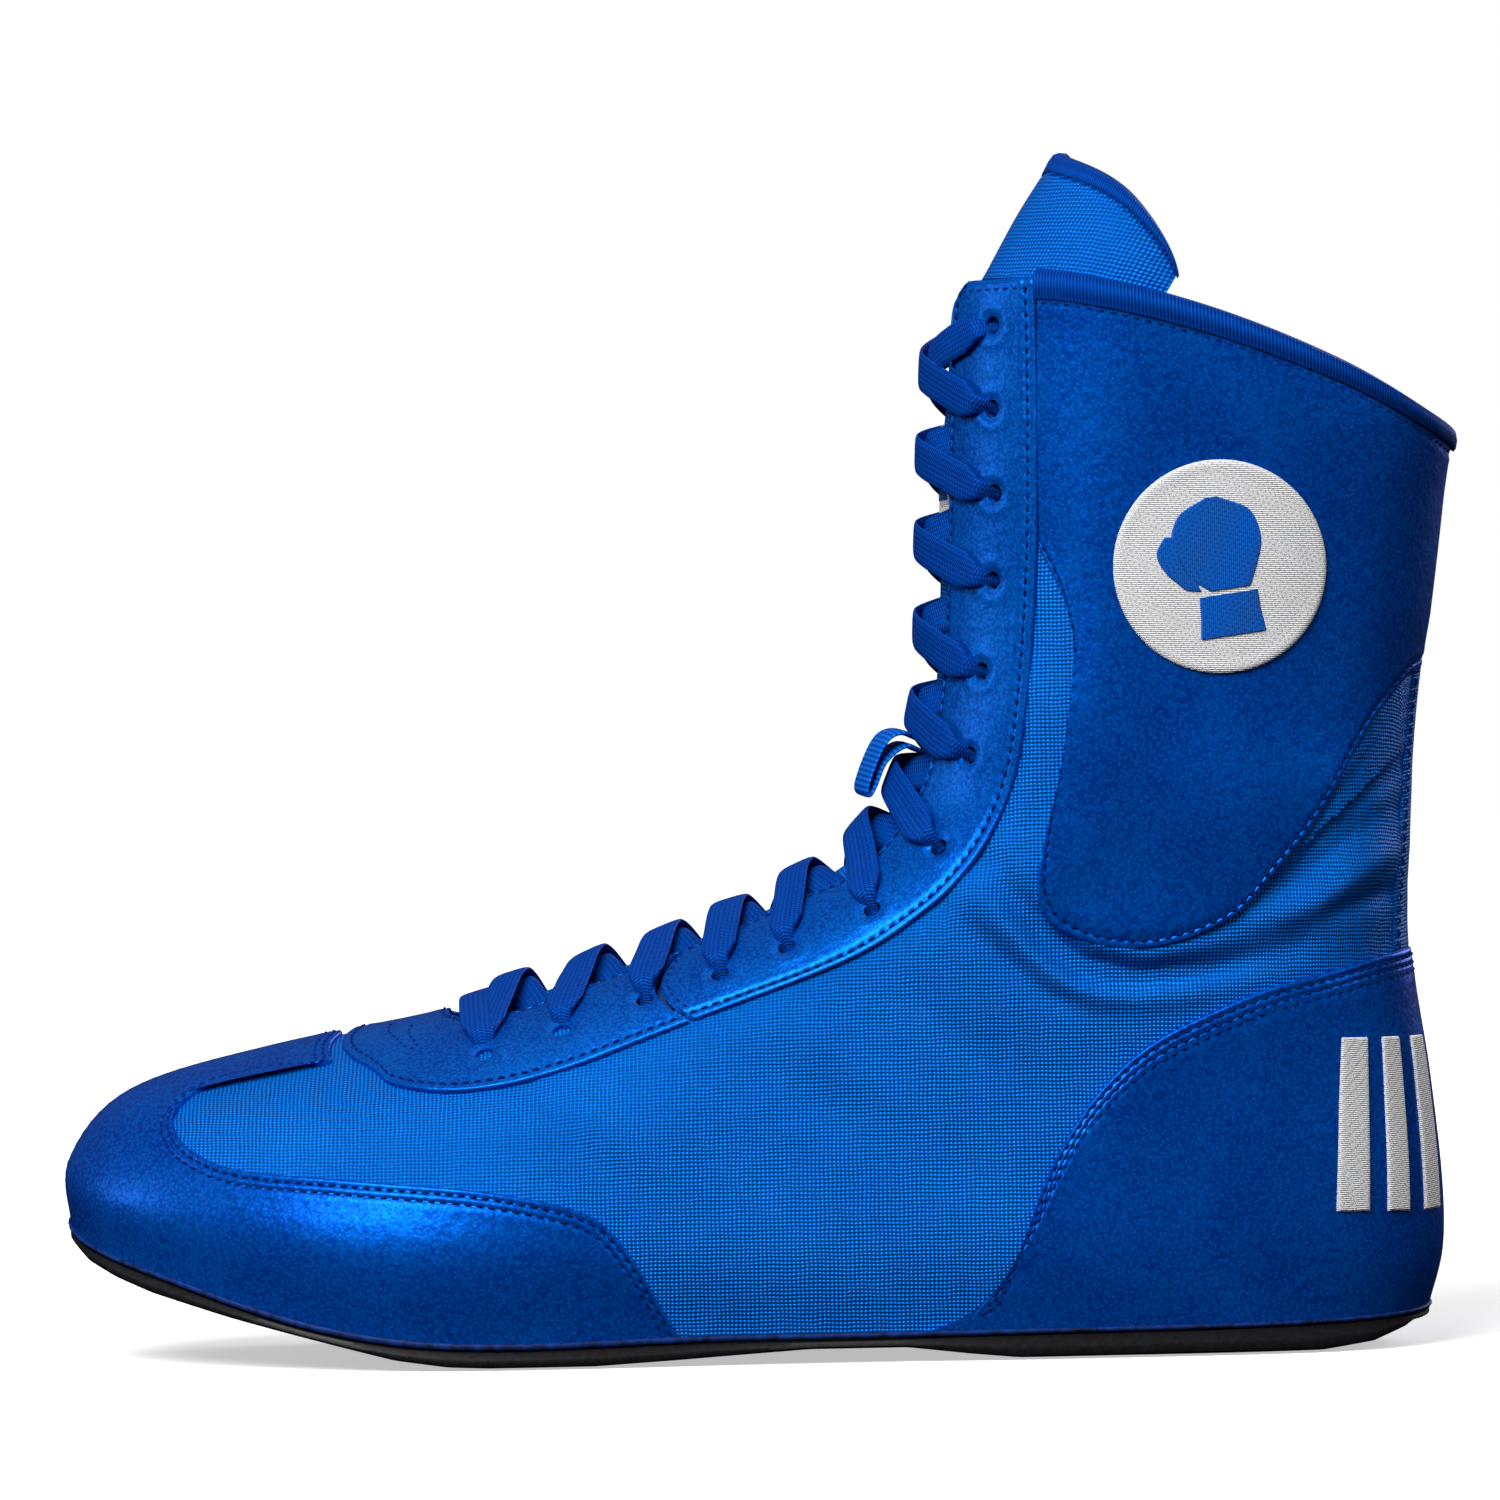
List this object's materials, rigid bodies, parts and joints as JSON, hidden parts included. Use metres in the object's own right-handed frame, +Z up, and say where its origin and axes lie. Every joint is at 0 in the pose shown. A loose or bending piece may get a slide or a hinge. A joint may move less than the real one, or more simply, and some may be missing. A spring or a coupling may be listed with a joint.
{
  "type": "boxing boot",
  "caption": "Tall lace-up boxing boot for the left foot: thin rubber sole, mesh upper with leather overlays, padded tongue, flat lace and plain embroidered badges.",
  "frame": {"origin": "middle of the boot's box, on the ground", "axes": "-X towards the toe, +X towards the heel, -Y towards the outer side, +Z up"},
  "size_m": [0.2947, 0.1, 0.2499],
  "materials": {
    "rubber_black": "matt",
    "piping_navy": "matt",
    "board_tan": "matt",
    "lining_navy": "matt",
    "stiffener": "matt",
    "mesh_blue": "woven",
    "leather_blue": "grained",
    "facing_blue": "grained",
    "backing_navy": "matt",
    "tongue_mesh": "woven",
    "lace_navy": "woven",
    "binding_blue": "woven",
    "aglet_navy": "gloss",
    "thread_white": "embroidered",
    "label_white": "woven"
  },
  "bodies": {
    "foot": {"outsole": "rubber_black", "welt_piping": "piping_navy", "insole_board": "board_tan", "footbed": "lining_navy", "toe_puff": "stiffener", "heel_stiffener": "stiffener", "lining_foot": "lining_navy", "vamp_mesh_lateral": "mesh_blue", "vamp_mesh_medial": "mesh_blue", "toe_cap": "leather_blue", "heel_counter": "leather_blue", "heel_bars": "thread_white", "throat_facing": "facing_blue", "throat_backing": "backing_navy", "tongue_lower": "tongue_mesh", "lace_foot": "lace_navy"},
    "shaft": {"ankle_mesh": "mesh_blue", "ankle_lining": "lining_navy", "tongue_ankle": "tongue_mesh", "lace_ankle": "lace_navy", "shaft_mesh_lateral": "mesh_blue", "shaft_mesh_medial": "mesh_blue", "lining_shaft": "lining_navy", "cuff_lateral": "leather_blue", "cuff_medial": "leather_blue", "collar_binding": "binding_blue", "backstay": "mesh_blue", "facing_lateral": "facing_blue", "facing_medial": "facing_blue", "facing_backing_lateral": "backing_navy", "facing_backing_medial": "backing_navy", "tongue_shaft": "tongue_mesh", "tongue_label": "label_white", "lace_keeper": "binding_blue", "lace_shaft": "lace_navy", "lace_tails": "lace_navy", "aglets": "aglet_navy", "emblem_lateral": "thread_white", "emblem_medial": "thread_white"},
    "tongue_flap": {"tongue_top": "tongue_mesh", "tongue_binding": "binding_blue"}
  },
  "joints": [
    {"name": "ankle_flex", "type": "hinge", "parent": "foot", "child": "shaft", "pos_m": [0.075, -0.0034, 0.08], "axis": [0, -1, 0], "range_deg": [-10, 12], "stiffness_Nm_per_rad": 1, "deforming": ["ankle_mesh", "ankle_lining", "tongue_ankle", "lace_ankle", "facing_lateral", "facing_medial", "facing_backing_lateral", "facing_backing_medial"]},
    {"name": "tongue_fold", "type": "hinge", "parent": "shaft", "child": "tongue_flap", "pos_m": [0.046, -0.0034, 0.2215], "axis": [0, -1, 0], "range_deg": [-6, 70], "stiffness_Nm_per_rad": 0.2}
  ]
}
